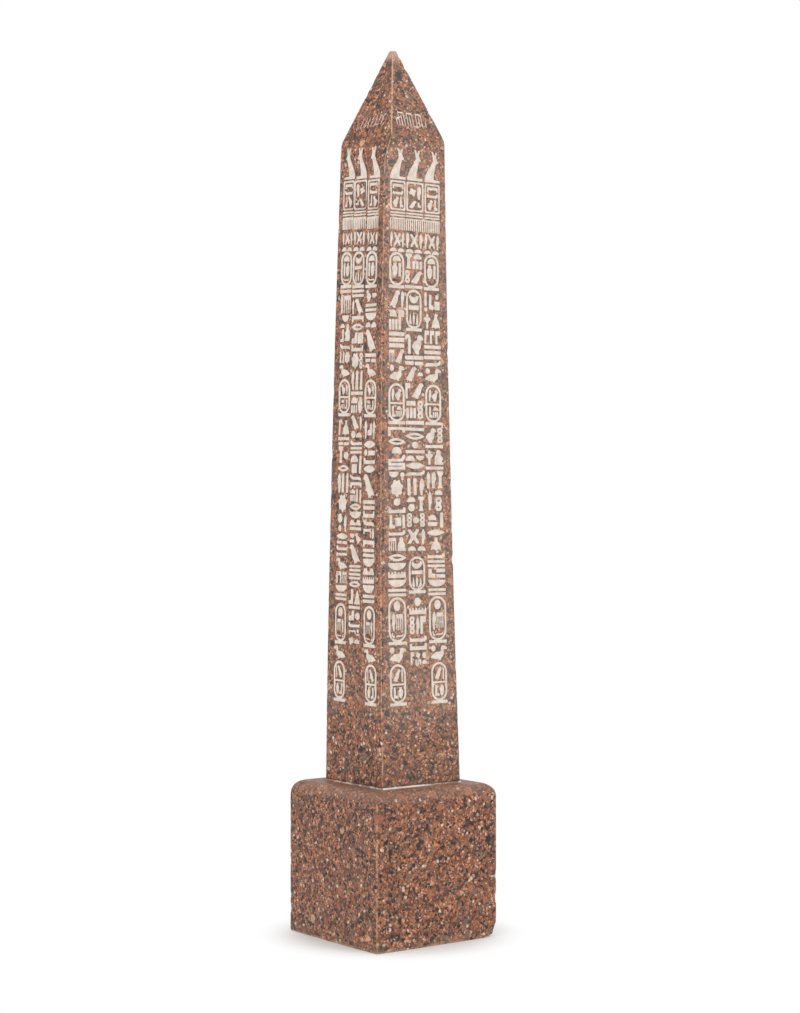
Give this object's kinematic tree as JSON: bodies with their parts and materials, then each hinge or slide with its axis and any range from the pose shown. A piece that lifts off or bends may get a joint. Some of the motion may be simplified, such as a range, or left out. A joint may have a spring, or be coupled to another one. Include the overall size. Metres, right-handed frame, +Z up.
{
  "type": "model obelisk",
  "caption": "Small stone model of an obelisk: a tapered carved shaft with a pyramidion, its carving filled with cream paint, bonded to a rounded block.",
  "frame": {"origin": "middle of the flat underside of the block", "axes": "+Z up along the shaft; -Y out of the front face and -X out of the left face, whose pyramidion slope is cut lower than the others"},
  "size_m": [0.054, 0.054, 0.3199],
  "materials": {
    "block_granite": "satin, speckled red-brown granite",
    "shaft_granite": "satin, speckled red-brown granite",
    "adhesive": "matt, dirty white",
    "cream_paint": "matt"
  },
  "bodies": {
    "root": {"adhesive_bed": "adhesive", "back_bird_inlays": "cream_paint", "back_fringe_inlays": "cream_paint", "back_lower_ring_inlays": "cream_paint", "back_middle_ring_inlays": "cream_paint", "back_panel_inlays": "cream_paint", "back_upper_ring_inlays": "cream_paint", "base_block": "block_granite", "front_bird_inlays": "cream_paint", "front_fringe_inlays": "cream_paint", "front_lower_ring_inlays": "cream_paint", "front_middle_ring_inlays": "cream_paint", "front_panel_inlays": "cream_paint", "front_upper_ring_inlays": "cream_paint", "left_bird_inlays": "cream_paint", "left_fringe_inlays": "cream_paint", "left_lower_ring_inlays": "cream_paint", "left_middle_ring_inlays": "cream_paint", "left_panel_inlays": "cream_paint", "left_upper_ring_inlays": "cream_paint", "right_bird_inlays": "cream_paint", "right_fringe_inlays": "cream_paint", "right_lower_ring_inlays": "cream_paint", "right_middle_ring_inlays": "cream_paint", "right_panel_inlays": "cream_paint", "right_upper_ring_inlays": "cream_paint", "shaft": "shaft_granite"}
  },
  "joints": []
}
